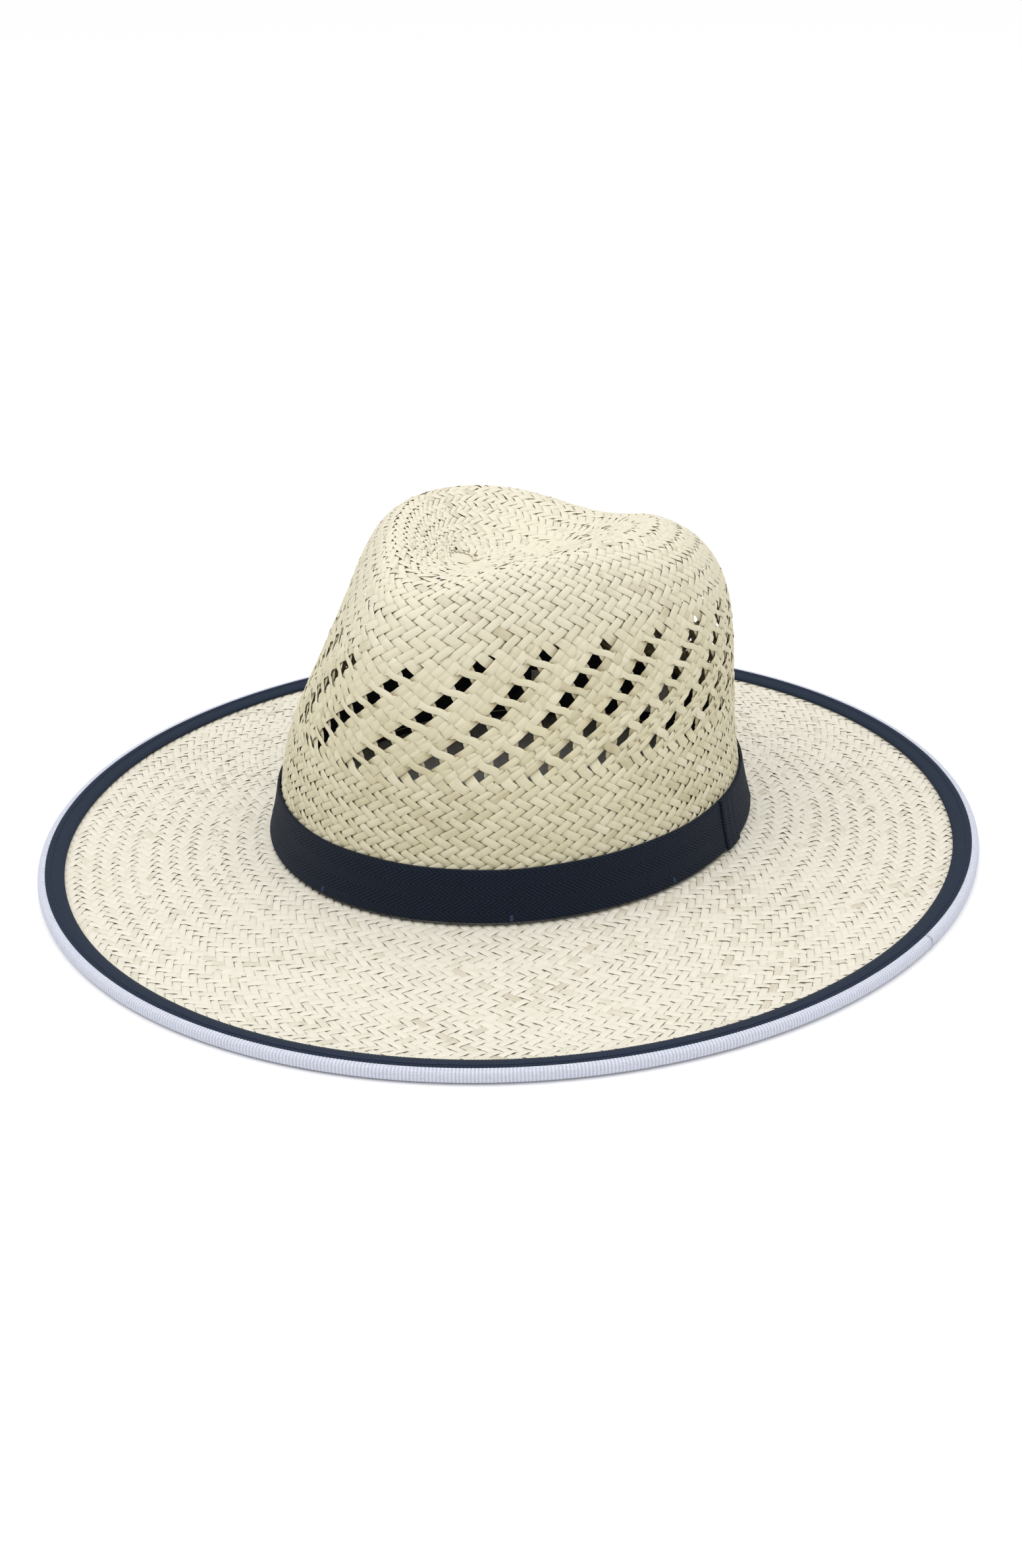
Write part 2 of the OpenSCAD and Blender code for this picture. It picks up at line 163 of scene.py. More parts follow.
class Strands:
    """Collects strands as lists of samples on a surface and turns them into one mesh."""

    def __init__(self, surface, sink, rough=1.0):
        self.surface, self.sink, self.rough = surface, sink, rough
        self.runs = []

    def add(self, psi, at, height, pitch_deg, share, lean, row_h):
        same = [np.broadcast_to(np.asarray(v, float), psi.shape) for v in (pitch_deg, share, lean, row_h)]
        self.runs.append((psi, at, height, *same))

    def build(self, name, material):
        sizes = [len(r[0]) for r in self.runs]
        columns = [np.concatenate([r[k] for r in self.runs]) for k in range(7)]
        psi, at, height, pitch, share, lean, row_h = columns
        first = np.zeros(len(psi), bool)
        last = np.zeros(len(psi), bool)
        starts = np.cumsum([0] + sizes[:-1])
        first[starts] = True
        last[np.cumsum(sizes) - 1] = True
        mid = self.surface(psi, at)
        across = self.surface(psi + 0.25, at) - self.surface(psi - 0.25, at)
        along = self.surface(psi, at + 0.25) - self.surface(psi, at - 0.25)
        normal = np.cross(along, across) if self.surface is brim_surface else np.cross(across, along)
        normal /= np.linalg.norm(normal, axis=1, keepdims=True)
        before = np.where(first[:, None], mid, np.roll(mid, 1, axis=0))
        after = np.where(last[:, None], mid, np.roll(mid, -1, axis=0))
        tangent = after - before
        tangent /= np.linalg.norm(tangent, axis=1, keepdims=True)
        side = np.cross(normal, tangent)
        step_round = across * 2.0 * pitch[:, None]
        strand_way = step_round * 0.5 * lean[:, None] + along * 2.0 * row_h[:, None]
        gap = np.linalg.norm(np.cross(step_round, strand_way), axis=1) / np.linalg.norm(strand_way, axis=1)
        half = 0.5 * gap * share
        strand = np.repeat(np.arange(len(sizes)), sizes)
        looks = RNG.normal(0, 1, len(sizes))[strand]
        # Painted shade: low darkens the straw's colour where a strand dips under its neighbours and where its
        # ends sink, standing in for the shade in those crevices.
        low = np.clip(-height / (WAVE * self.rough), 0, 1) ** 2
        low = np.where(height < -1.2 * WAVE * self.rough, 0.3, low)
        thin = 1 + 0.03 * RNG.normal(0, 1, len(sizes))[strand]
        roll = 0.05 * RNG.normal(0, 1, len(psi))
        roll = (roll + np.roll(roll, 1) + np.roll(roll, 2)) * 0.9 * self.rough
        bob = 0.05 * RNG.normal(0, 1, len(psi))
        bob = (bob + np.roll(bob, 1)) * 0.7 * self.rough
        drift = 0.06 * np.sin(np.cumsum(RNG.normal(0, 0.5, len(psi))))
        half = np.minimum(half * thin, WIDEST)
        height = height + bob - self.sink
        points = (mid[:, None, :]
                  + (side * half[:, None])[:, None, :] * (SIDE[None, :, None] + drift[:, None, None])
                  + normal[:, None, :] * (height[:, None] + STRAW_T * self.rough * ROLL[None, :]
                                          + (roll * half)[:, None] * SIDE[None, :])[:, :, None])
        n = len(psi)
        here = np.where(~last)[0]
        quads = []
        for k in range(4):
            a = here * 5 + k
            quads.append(np.stack([a, a + 5, a + 6, a + 1], 1))
        quads = np.concatenate(quads)
        step = np.linalg.norm(np.where(first[:, None], 0, mid - before), axis=1)
        run = np.cumsum(step)
        # The tone attribute holds each strand's random tone plus, through -1.3 * low, the painted crevice
        # shade.
        tone_and_painted_shade = looks * 0.22 + 0.16 * np.repeat(RNG.normal(0, 1, n // 6 + 1), 6)[:n] - 1.3 * low
        grain = np.stack([np.repeat(run, 5), (SIDE[None, :] * half[:, None]).ravel(),
                          np.repeat(strand * GRAIN_STEP, 5)], 1)
        # Painted top light: the crown's straw is painted lighter towards the top, and the brim not at all.
        painted_top_light = ease(*TOP_LIGHT_SLANTS, at) if self.surface is crown_surface else np.zeros(n)
        return mesh_object(name, points.reshape(-1, 3) / 1000, quads, material, "hat",
                           {"tone_and_painted_shade": np.repeat(tone_and_painted_shade, 5), "painted_top_light": np.repeat(painted_top_light, 5)},
                           {"grain": grain / 1000})


def mesh_object(name, points, quads, material, body, numbers, vectors):
    """Mesh in metres that rides on a body, with number and vector attributes for its material."""
    mesh = bpy.data.meshes.new(name)
    quads = np.asarray(quads, np.int32)
    mesh.vertices.add(len(points))
    mesh.vertices.foreach_set("co", np.asarray(points, np.float32).ravel())
    mesh.loops.add(quads.size)
    mesh.loops.foreach_set("vertex_index", quads.ravel())
    mesh.polygons.add(len(quads))
    mesh.polygons.foreach_set("loop_start", np.arange(0, quads.size, 4, dtype=np.int32))
    mesh.update(calc_edges=True)
    mesh.polygons.foreach_set("use_smooth", np.ones(len(quads), bool))
    for key, values in numbers.items():
        mesh.attributes.new(key, "FLOAT", "POINT").data.foreach_set("value", np.asarray(values, np.float32))
    for key, values in vectors.items():
        mesh.attributes.new(key, "FLOAT_VECTOR", "POINT").data.foreach_set(
            "vector", np.asarray(values, np.float32).ravel())
    mesh.materials.append(material)
    obj = bpy.data.objects.new(name, mesh)
    bpy.context.scene.collection.objects.link(obj)
    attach(obj, body)
    return obj


# ------------------------------------------------------------------ materials
def new_material(name, roughness=0.6):
    mat = bpy.data.materials.new(name)
    mat.use_nodes = True
    shader = mat.node_tree.nodes["Principled BSDF"]
    shader.inputs["Roughness"].default_value = roughness
    return mat, mat.node_tree.nodes, mat.node_tree.links, shader


def linear(r, g, b):
    return tuple(((c / 255 + 0.055) / 1.055) ** 2.4 for c in (r, g, b)) + (1.0,)


def ramp_node(nodes, stops):
    ramp = nodes.new("ShaderNodeValToRGB")
    while len(ramp.color_ramp.elements) < len(stops):
        ramp.color_ramp.elements.new(0.5)
    for element, (place, colour) in zip(ramp.color_ramp.elements, stops):
        element.position, element.color = place, colour
    return ramp


def straw_material(name, dark_tone_and_shade, plain, pale, painted_top_lit):
    mat, nodes, links, shader = new_material(name, 0.55)
    tone_and_painted_shade = nodes.new("ShaderNodeAttribute")
    tone_and_painted_shade.attribute_name = "tone_and_painted_shade"
    grain = nodes.new("ShaderNodeAttribute")
    grain.attribute_name = "grain"
    squeeze = nodes.new("ShaderNodeVectorMath")
    squeeze.operation = "MULTIPLY"
    squeeze.inputs[1].default_value = (60.0, 1400.0, 400.0)
    links.new(grain.outputs["Vector"], squeeze.inputs[0])
    fibre = nodes.new("ShaderNodeTexNoise")
    fibre.inputs["Scale"].default_value = 1.0
    fibre.inputs["Detail"].default_value = 3.0
    links.new(squeeze.outputs["Vector"], fibre.inputs["Vector"])
    mapped = nodes.new("ShaderNodeMapRange")
    mapped.inputs["From Min"].default_value = -2.2
    mapped.inputs["From Max"].default_value = 2.2
    links.new(tone_and_painted_shade.outputs["Fac"], mapped.inputs["Value"])
    total = nodes.new("ShaderNodeMath")
    total.operation = "MULTIPLY_ADD"
    total.inputs[1].default_value = 0.22
    links.new(fibre.outputs["Fac"], total.inputs[0])
    links.new(mapped.outputs["Result"], total.inputs[2])
    # The first, darkest stop is reached mostly through the painted crevice shade in the tone attribute.
    ramp = ramp_node(nodes, [(0.15, dark_tone_and_shade), (0.55, plain), (0.9, pale)])
    links.new(total.outputs["Value"], ramp.inputs["Fac"])
    # Painted top light: the colour is mixed towards a lighter copy of the straw higher up the crown, standing
    # in for light from above.
    painted_top_light = nodes.new("ShaderNodeAttribute")
    painted_top_light.attribute_name = "painted_top_light"
    top_lit_ramp = ramp_node(nodes, [(0.15, dark_tone_and_shade), (0.55, painted_top_lit), (0.9, pale)])
    links.new(total.outputs["Value"], top_lit_ramp.inputs["Fac"])
    mix = nodes.new("ShaderNodeMix")
    mix.data_type = "RGBA"
    links.new(painted_top_light.outputs["Fac"], mix.inputs[0])
    links.new(ramp.outputs["Color"], mix.inputs[6])
    links.new(top_lit_ramp.outputs["Color"], mix.inputs[7])
    links.new(mix.outputs[2], shader.inputs["Base Color"])
    crumple = nodes.new("ShaderNodeVectorMath")
    crumple.operation = "MULTIPLY"
    crumple.inputs[1].default_value = (260.0, 520.0, 400.0)
    links.new(grain.outputs["Vector"], crumple.inputs[0])
    crease = nodes.new("ShaderNodeTexNoise")
    crease.inputs["Scale"].default_value = 1.0
    crease.inputs["Detail"].default_value = 4.0
    crease.inputs["Roughness"].default_value = 0.6
    links.new(crumple.outputs["Vector"], crease.inputs["Vector"])
    both = nodes.new("ShaderNodeMath")
    both.operation = "MULTIPLY_ADD"
    both.inputs[1].default_value = 0.6
    links.new(fibre.outputs["Fac"], both.inputs[0])
    links.new(crease.outputs["Fac"], both.inputs[2])
    bump = nodes.new("ShaderNodeBump")
    bump.inputs["Strength"].default_value = 0.35
    bump.inputs["Distance"].default_value = 0.0004
    links.new(both.outputs["Value"], bump.inputs["Height"])
    links.new(bump.outputs["Normal"], shader.inputs["Normal"])
    shader.inputs["Specular IOR Level"].default_value = 0.35
    return mat


# Each straw's first colour is the dark end that the painted crevice shade reaches.
CROWN_STRAW = straw_material("crown_straw", linear(138, 118, 76), linear(203, 196, 165),
                             linear(226, 220, 198), linear(222, 216, 196))
BRIM_STRAW = straw_material("brim_straw", linear(160, 142, 106), linear(219, 214, 199), linear(229, 224, 210),
                            linear(219, 214, 199))


# ------------------------------------------------------------------ crown weave
STRANDS = 96                # strands in each direction on the crown's side
GROUP = 4                   # strands between two vent lines
START = 12.0                # slant where the weave starts, under the band
VENT_FIRST, VENT_ROWS = 23, 16
ROW_LOW, ROW_VENT, ROW_TOP = 1.70, 2.70, 1.95
SQUEEZE = 0.68              # how close the strands between vent lines are pushed together
PINCH = 0.42                # how far a pair closes up where it crosses a vent line
TURN = -2.2                 # where the first strand starts
PER_ROW = 3                 # samples between crossings
SIDE_ROWS = (0, 58)         # first and last crossing row of the crown's side
CROWN_SINK = 0.75           # the weave's middle under the crown's outer surface
RIGHT_SHARE = 0.96          # the same as SHARE, for the side's strands that lean right
LINE_SHARE = 0.37           # how much of its share a strand gives up where it crosses a vent line
FOLD_LIFT = 0.24            # how far each strand of a pair rises or sinks where the two swap places


def slant_of_row(row):
    """Mean slant at a crossing row of the crown's side."""
    table = [0.0]
    for r in range(120):
        vent = VENT_FIRST <= r < VENT_FIRST + VENT_ROWS
        table.append(table[-1] + (ROW_VENT if vent else ROW_LOW if r < VENT_FIRST else ROW_TOP))
    return START + np.interp(row, np.arange(len(table)), table)


def row_height(row):
    return slant_of_row(row + 0.5) - slant_of_row(row - 0.5)


def over(n, plain):
    """+1 where the strand that leans right lies on top at crossing row n."""
    n = np.round(n).astype(int)
    twill = np.where(np.mod(n, 4) < 2, 1.0, -1.0)
    basket = np.where(np.mod(n, 2) < 1, 1.0, -1.0)
    return np.where(plain, basket, twill)


def in_vents(n):
    return (n >= VENT_FIRST) & (n <= VENT_FIRST + VENT_ROWS)


def squeeze_at(row):
    lo, hi = VENT_FIRST - 1.2, VENT_FIRST + VENT_ROWS + 1.2
    return 1 - (1 - SQUEEZE) * ease(lo, lo + 1.6, row) * (1 - ease(hi - 1.6, hi, row))


def squeezed(i, k):
    """Place of strand i, whole or not, when each group is pushed together by k."""
    g = np.floor(i / GROUP)
    q = i - GROUP * g
    inside = GROUP * g + 1.5 + (q - 1.5) * k
    f = q - 3
    lo, hi = GROUP * g + 1.5 + 1.5 * k, GROUP * (g + 1) + 1.5 - 1.5 * k
    return np.where(q <= 3, inside, lo + (hi - lo) * f)


def wave(f, s0, s1):
    """Height of a strand at share f of the way between two crossings, over (+1) or under (-1) at each."""
    return WAVE * (s0 + (s1 - s0) * steep(f))


def right_leaning(strands, rows):
    pitch = 360 / STRANDS
    for i in range(STRANDS):
        y = i + np.arange(rows[0] * PER_ROW, rows[1] * PER_ROW + 1) / PER_ROW
        k = squeeze_at(y - i)
        x = squeezed(np.full_like(y, i), k)
        n0 = np.floor(y + 1e-6) - i
        f = y - i - n0
        height = wave(f, over(n0, in_vents(n0)), over(n0 + 1, in_vents(n0 + 1)))
        row = y - x
        strands.add((x + y) / 2 * pitch + TURN, slant_of_row(row), height + end_dip(row, rows), pitch * k,
                    RIGHT_SHARE, 1, row_height(row) / k)


def end_dip(row, rows):
    return -1.0 * (1 - ease(rows[0], rows[0] + 1.0, row)) - 0.6 * ease(rows[1] - 1.0, rows[1], row)


def left_leaning(strands, rows):
    pitch = 360 / STRANDS
    lo, hi = VENT_FIRST, VENT_FIRST + VENT_ROWS
    for j in range(STRANDS):
        mate = j ^ 1
        pair = j // 2
        cells = []
        for c in range(j - rows[1], j - rows[0]):
            fine = 2 * PER_ROW if c % GROUP == 3 else PER_ROW
            cells.append(c + np.arange(fine) / fine)
        i = np.r_[np.concatenate(cells), j - rows[0]]
        swaps = np.zeros_like(i)
        near = np.zeros_like(i)
        for g in range((j - rows[1]) // GROUP - 1, (j - rows[0]) // GROUP + 1):
            crossing = 2 * pair - GROUP * g - 3
            if lo < crossing < hi:
                swaps += ease(0.06, 0.94, i - (GROUP * g + 3))
                near += 1 - ease(0.5, 1.2, np.abs(i - (GROUP * g + 3.5)))
        folded = 1 - np.abs(1 - np.mod(swaps, 2))
        y = j + (mate - j) * (0.5 + (folded - 0.5) * (1 - PINCH * near))
        c0 = np.floor(i + 1e-6)
        f = i - c0
        x = squeezed(i, squeeze_at(y - i))
        x = squeezed(i, squeeze_at(y - x))
        at0 = np.interp(c0, i, y) - c0
        at1 = np.interp(c0 + 1, i, y) - c0 - 1
        height = wave(f, -over(at0, in_vents(at0)), -over(at1, in_vents(at1)))
        row = y - x
        share = SHARE - LINE_SHARE * ease(0, 1, near)
        height = height + (FOLD_LIFT if j % 2 else -FOLD_LIFT) * near * (1 - np.abs(2 * folded - 1))
        strands.add((x + y) / 2 * pitch + TURN, slant_of_row(row), height + end_dip(row, rows), pitch, share,
                    -1, row_height(row))


def plain_zone(strands, lean, count, start, row_h, rows, turn, dip, flat, ragged, fine):
    """Strands that all lean one way, in a zone with its own count and row height.

    dip is how far strand ends sink, flat scales the height of the weave, ragged is by how many rows
    single strands may start later and end sooner, and fine is the samples between crossings.
    """
    pitch = 360 / count
    for i in range(count):
        r0, cut = RNG.integers(0, ragged[0] + 1), RNG.integers(0, ragged[1] + 1)
        r = r0 + np.arange((rows - cut - r0) * fine + 1) / fine
        n0 = np.floor(r + 1e-6)
        height = flat * wave(r - n0, lean * over(n0, False), lean * over(n0 + 1, False))
        height = height - dip * (1 - ease(0, 1 + ragged[0], r) + ease(rows - cut - 1, rows - cut, r))
        strands.add((i + lean * r / 2) * pitch + turn, start + r * row_h, height, pitch, SHARE,
                    lean, row_h)


def make_tip_patch():
    """Round patch of straw under the middle of the top, where the strands start."""
    turns, rings = 36, 7
    psi = np.tile(np.arange(turns) * 360 / turns, rings)
    slant = np.repeat(SLANT_END - 1.2 - np.arange(rings) * 2.0, turns)
    points = crown_surface(psi, slant)
    middle = points[:turns].mean(0)
    points[:turns] = middle + (points[:turns] - middle) * 0.05
    points[:, 2] -= 1.5
    a = np.arange((rings - 1) * turns)
    b = a - a % turns + (a + 1) % turns
    quads = np.stack([a, a + turns, b + turns, b], 1)
    flat = np.stack([points[:, 0], points[:, 1], np.zeros(len(points))], 1) / 1000
    # The patch sits at the top of the crown, so it takes the full painted top light.
    return mesh_object("crown_tip_patch", points / 1000, quads, CROWN_STRAW, "hat",
                       {"tone_and_painted_shade": np.zeros(len(points)), "painted_top_light": np.ones(len(points))}, {"grain": flat})


TOP_OVERLAP = 2.4           # rows by which neighbouring zones of the top overlap
TOP_DIP = 0.6               # how far strand ends sink
TOP_FIRST = 60              # strands each way in the first zone of the top
TOP_NARROW, TOP_WIDE = 3.2, 5.6     # strand spacing where a zone ends, at the least, and where one starts
TIP_REACH = 2.5             # slant left bare at the tip, over the patch
LEAST_ROWS = 4              # a zone needs more rows than its overlap, or the walk to the tip never ends


def make_crown():
    right = Strands(crown_surface, CROWN_SINK)
    left = Strands(crown_surface, CROWN_SINK)
    right_leaning(right, SIDE_ROWS)
    left_leaning(left, SIDE_ROWS)
    made = [right.build("crown_strands_right", CROWN_STRAW), left.build("crown_strands_left", CROWN_STRAW)]
    top = Strands(crown_surface, CROWN_SINK)
    start = float(slant_of_row(SIDE_ROWS[1])) - TOP_OVERLAP * ROW_TOP
    count = TOP_FIRST
    while SLANT_END - TIP_REACH - start >= LEAST_ROWS * ROW_TOP:
        left_over = SLANT_END - TIP_REACH - start
        ring = np.interp(start, RING_SLANT, RING_LENGTH)
        reach = min(left_over, (ring - TOP_NARROW * count) / (2 * math.pi))
        rows = max(LEAST_ROWS, int(reach / ROW_TOP))
        rows = min(rows, int(left_over / ROW_TOP))
        for lean in (1, -1):
            plain_zone(top, lean, count, start, ROW_TOP, rows, 0.0, TOP_DIP, 1.0, (1, 1), PER_ROW)
        start += (rows - TOP_OVERLAP) * ROW_TOP
        ring = np.interp(start, RING_SLANT, RING_LENGTH)
        count = max(5, int(ring / TOP_WIDE))
    made.append(top.build("crown_strands_top", CROWN_STRAW))
    made.append(make_tip_patch())
    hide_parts("crown")


BRIM_FLAT = 0.70            # the brim is pressed flatter than the crown
BRIM_ROW = 1.83             # distance between crossing rows
BRIM_DIP = 0.5              # how far strand ends sink
BRIM_FINE = 2               # samples between crossings
# Strands each way, start distance, rows, and rows by which single strands may start later and end sooner.
BRIM_ZONES = ((142, -1.0, 15, (0, 2)), (175, 18.0, 21, (2, 2)), (214, 48.0, 21, (2, 0)))


def make_brim():
    for k, (count, start, rows, ragged) in enumerate(BRIM_ZONES):
        for lean, side in ((1, "right"), (-1, "left")):
            ring = Strands(brim_surface, 0.0, BRIM_FLAT)
            plain_zone(ring, lean, count, start, BRIM_ROW, rows, 1.3 * k, BRIM_DIP, BRIM_FLAT, ragged,
                       BRIM_FINE)
            ring.build("brim_strands_%s_%d" % (side, k + 1), BRIM_STRAW)
    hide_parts("brim")


make_crown()
make_brim()


# ------------------------------------------------------------------ tapes
def sweep(name, offs, heights, angles, material, round_closed):
    """A closed section carried round the oval, with one row of offs and heights for each angle."""
    n, m = offs.shape
    points = ring_pt(angles[:, None], offs, heights)
    along = np.r_[0, np.cumsum(np.linalg.norm(np.diff(points[:, 0], axis=0), axis=1))]
    edge = np.linalg.norm(np.diff(points[0], axis=0), axis=1)
    across = np.r_[0, np.cumsum(edge)]
    last = n if round_closed else n - 1
    i = np.repeat(np.arange(last), m)
    k = np.tile(np.arange(m), last)
    i1, k1 = (i + 1) % n, (k + 1) % m
    quads = np.stack([i * m + k, i1 * m + k, i1 * m + k1, i * m + k1], 1)
    grain = np.stack([np.repeat(along, m), np.tile(across, n), np.zeros(n * m)], 1) / 1000
    return mesh_object(name, points.reshape(-1, 3) / 1000, quads, material, "hat", {}, {"grain": grain})


CHEVRON_W = 0.0047          # width of one band of the herringbone, in metres


def tape_material(name, base, deep, chevron, pitch, strength=0.5, roughness=0.85):
    """Woven cotton tape. chevron is the share of slope of its twill lines; 0 gives straight ribs."""
    mat, nodes, links, shader = new_material(name, roughness)
    grain = nodes.new("ShaderNodeAttribute")
    grain.attribute_name = "grain"
    split = nodes.new("ShaderNodeSeparateXYZ")
    links.new(grain.outputs["Vector"], split.inputs[0])

    def math_node(kind, a, b=None, c=None):
        node = nodes.new("ShaderNodeMath")
        node.operation = kind
        for slot, value in zip(node.inputs, (a, b, c)):
            if value is None:
                continue
            if isinstance(value, (int, float)):
                slot.default_value = value
            else:
                links.new(value, slot)
        return node.outputs["Value"]

    fold = math_node("PINGPONG", split.outputs["Y"], CHEVRON_W)
    slant = math_node("MULTIPLY_ADD", fold, chevron, split.outputs["X"])
    wave_in = math_node("MULTIPLY", slant, 2 * math.pi / pitch)
    line = math_node("SINE", wave_in)
    cross = math_node("SINE", math_node("MULTIPLY", split.outputs["Y"], 2 * math.pi / (pitch * 0.8)))
    noise = nodes.new("ShaderNodeTexNoise")
    noise.inputs["Scale"].default_value = 1500.0
    noise.inputs["Detail"].default_value = 2.0
    links.new(grain.outputs["Vector"], noise.inputs["Vector"])
    blotch = nodes.new("ShaderNodeTexNoise")
    blotch.inputs["Scale"].default_value = 90.0
    fuzz = math_node("MULTIPLY_ADD", cross, 0.12, noise.outputs["Fac"])
    height = math_node("MULTIPLY_ADD", line, 0.5, fuzz)
    bump = nodes.new("ShaderNodeBump")
    bump.inputs["Strength"].default_value = strength
    bump.inputs["Distance"].default_value = 0.0003
    links.new(height, bump.inputs["Height"])
    links.new(bump.outputs["Normal"], shader.inputs["Normal"])
    patches = math_node("MULTIPLY", blotch.outputs["Fac"], 0.5)
    uneven = math_node("MULTIPLY_ADD", noise.outputs["Fac"], 0.5, patches)
    amount = math_node("MULTIPLY_ADD", line, 0.24, uneven)
    ramp = ramp_node(nodes, [(0.2, deep), (0.8, base)])
    links.new(amount, ramp.inputs["Fac"])
    links.new(ramp.outputs["Color"], shader.inputs["Base Color"])
    shader.inputs["Specular IOR Level"].default_value = 0.12
    shader.inputs["Sheen Weight"].default_value = 0.04
    shader.inputs["Sheen Roughness"].default_value = 0.6
    return mat


NAVY_TAPE = tape_material("navy_herringbone_tape", linear(26, 38, 56), linear(6, 10, 18), 1.6, 0.0021, 0.8)
NAVY_RIBBON = tape_material("navy_ribbon", linear(30, 44, 64), linear(20, 31, 48), 0.0, 0.0010, 0.35, 0.7)
WHITE_TAPE = tape_material("white_binding_tape", linear(218, 220, 231), linear(178, 183, 200), 0.0, 0.0012,
                           0.6)

LOOP_AT = 10.0
LOOP_HALF = 13.0 / 2 / 1.72         # half the loop's width, in degrees round the hat
LOOP_STEPS = 17                     # angles along the loop
BAND_LOW, BAND_HIGH = 11.3, 30.5    # the band's edges, as heights


def soft_wave(angles, size, turns):
    """Small smooth unevenness round the hat that closes on itself."""
    t = np.radians(angles)
    return size * (np.sin(turns * t + 0.7) + 0.6 * np.sin((turns * 2 + 1) * t + 2.1)) / 1.6


def make_hat_band():
    angles = np.linspace(LOOP_AT + 0.3, LOOP_AT + 359.7, 300)
    v = np.array([0, 0, 0.02, 0.07, 0.25, 0.5, 0.75, 0.93, 0.98, 1, 1, 0.5])
    out = np.array([0.15, 1.15, 1.35, 1.45, 1.50, 1.45, 1.35, 1.28, 1.18, 1.0, 0.15, 0.15])
    low = BAND_LOW + soft_wave(angles, 0.12, 5)
    high = BAND_HIGH + soft_wave(angles + 40, 0.18, 7)
    heights = low[:, None] + (high - low)[:, None] * v[None, :]
    bulge = soft_wave(angles, 0.15, 4)[:, None] * np.sin(np.pi * v)[None, :]
    offs = out[None, :] + np.where(out > 0.3, bulge, 0)
    band = sweep("hat_band_tape", offs, heights, angles, NAVY_TAPE, False)
    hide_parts("hat_band")


def make_loop():
    angles = np.linspace(LOOP_AT - LOOP_HALF, LOOP_AT + LOOP_HALF, LOOP_STEPS)
    v = np.array([-0.02, -0.025, -0.01, 0.04, 0.25, 0.5, 0.75, 0.96, 1.02, 1.03, 1.02, 0.97, 0.5, 0.03])
    out = np.array([1.0, 1.9, 2.25, 2.4, 2.5, 2.5, 2.42, 2.3, 2.15, 1.8, 0.9, 1.65, 1.75, 1.75])
    edge = np.abs(np.linspace(-1, 1, LOOP_STEPS)) ** 12
    heights = BAND_LOW + (BAND_HIGH - BAND_LOW) * v[None, :] + np.zeros((LOOP_STEPS, 1))
    rounded = np.where(out > 1.78, 1, 0)[None, :] * (-0.35 * edge[:, None])
    ridge = 0.10 * np.sin(np.linspace(0, 5 * np.pi, LOOP_STEPS))[:, None] * np.where(out > 2.2, 1, 0)[None, :]
    loop = sweep("band_loop_tape", out[None, :] + rounded + ridge, heights, angles, NAVY_TAPE, False)
    cap_ends(loop, LOOP_STEPS, len(v))
    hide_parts("band_loop")


def cap_ends(obj, n, m):
    """Closes the two cut ends of an open sweep."""
    shape = bmesh.new()
    shape.from_mesh(obj.data)
    shape.verts.ensure_lookup_table()
    for first, way in ((0, 1), ((n - 1) * m, -1)):
        ring = [shape.verts[first + k] for k in range(m)][::way]
        shape.faces.new(ring)
    shape.to_mesh(obj.data)
    shape.free()


RIBBON_IN, RIBBON_OUT = 81.3, 88.6
TEETH, PER_TOOTH = 930, 3           # scallops round the ribbon's edge, and samples in each
LEG_D = 82.4                        # where both legs of the folded binding end
BIND_T = 0.6                        # thickness of the binding's tape


def brim_top(d):
    return brim_mid(d) + BRIM_T / 2


def make_ribbon():
    samples = TEETH * PER_TOOTH
    angles = np.arange(samples) * 360 / samples
    phase = 2 * np.pi * np.arange(samples) / PER_TOOTH
    tooth = 0.16 * np.cos(phase)
    d = np.array([RIBBON_IN, RIBBON_IN, RIBBON_IN + 0.25, 83.2, 86.2,
                  RIBBON_OUT - 0.25, RIBBON_OUT, RIBBON_OUT])
    roof = brim_top(EDGE_D) + BIND_T
    z = np.array([brim_top(81.5) + 0.05, brim_top(81.5) + 0.62, brim_top(82.0) + 0.85,
                  brim_top(83.2) + 1.25, brim_top(86.2) + 1.18, roof + 0.62, roof + 0.5, roof + 0.12])
    sway = soft_wave(angles, 0.25, 6)
    offs = d[None, :] + tooth[:, None] * np.where(d >= RIBBON_OUT - 0.3, 1.0, 0.0)[None, :]
    offs = offs + (tooth * 0.6)[:, None] * np.where(d < 82, 1.0, 0.0)[None, :]
    offs = offs + (sway * 0.5)[:, None] * np.where(d < 84, 1.0, 0.0)[None, :]
    heights = z[None, :] + np.zeros((len(angles), 1))
    ribbon = sweep("brim_ribbon_tape", offs, heights, angles, NAVY_RIBBON, True)
    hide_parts("brim_ribbon")


def make_binding():
    angles = np.arange(720) * 0.5
    roof = brim_top(EDGE_D) + BIND_T
    under = brim_mid(LEG_D) - BRIM_T / 2 - BIND_T
    turn = np.radians(np.linspace(-120, 110, 22))
    arc_d = 89.2 + 2.3 * np.sign(np.cos(turn)) * np.abs(np.cos(turn)) ** 0.8
    arc_z = 2.45 + 2.40 * np.sign(np.sin(turn)) * np.abs(np.sin(turn)) ** 0.8
    d = np.r_[LEG_D, arc_d, 87.7, LEG_D, LEG_D, 87.5, 87.6, LEG_D]
    z = np.r_[under, np.maximum(arc_z, 0.0), roof + 0.1, brim_top(LEG_D) + BIND_T, brim_top(LEG_D) + 0.05,
              brim_top(EDGE_D) + 0.1, brim_mid(EDGE_D) - BRIM_T / 2 - 0.1, under + 0.55]
    offs = d[None, :] + np.zeros((len(angles), 1))
    heights = z[None, :] + np.zeros((len(angles), 1))
    binding = sweep("edge_binding_tape", offs, heights, angles, WHITE_TAPE, True)
    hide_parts("edge_binding")


make_hat_band()
make_loop()
make_ribbon()
make_binding()


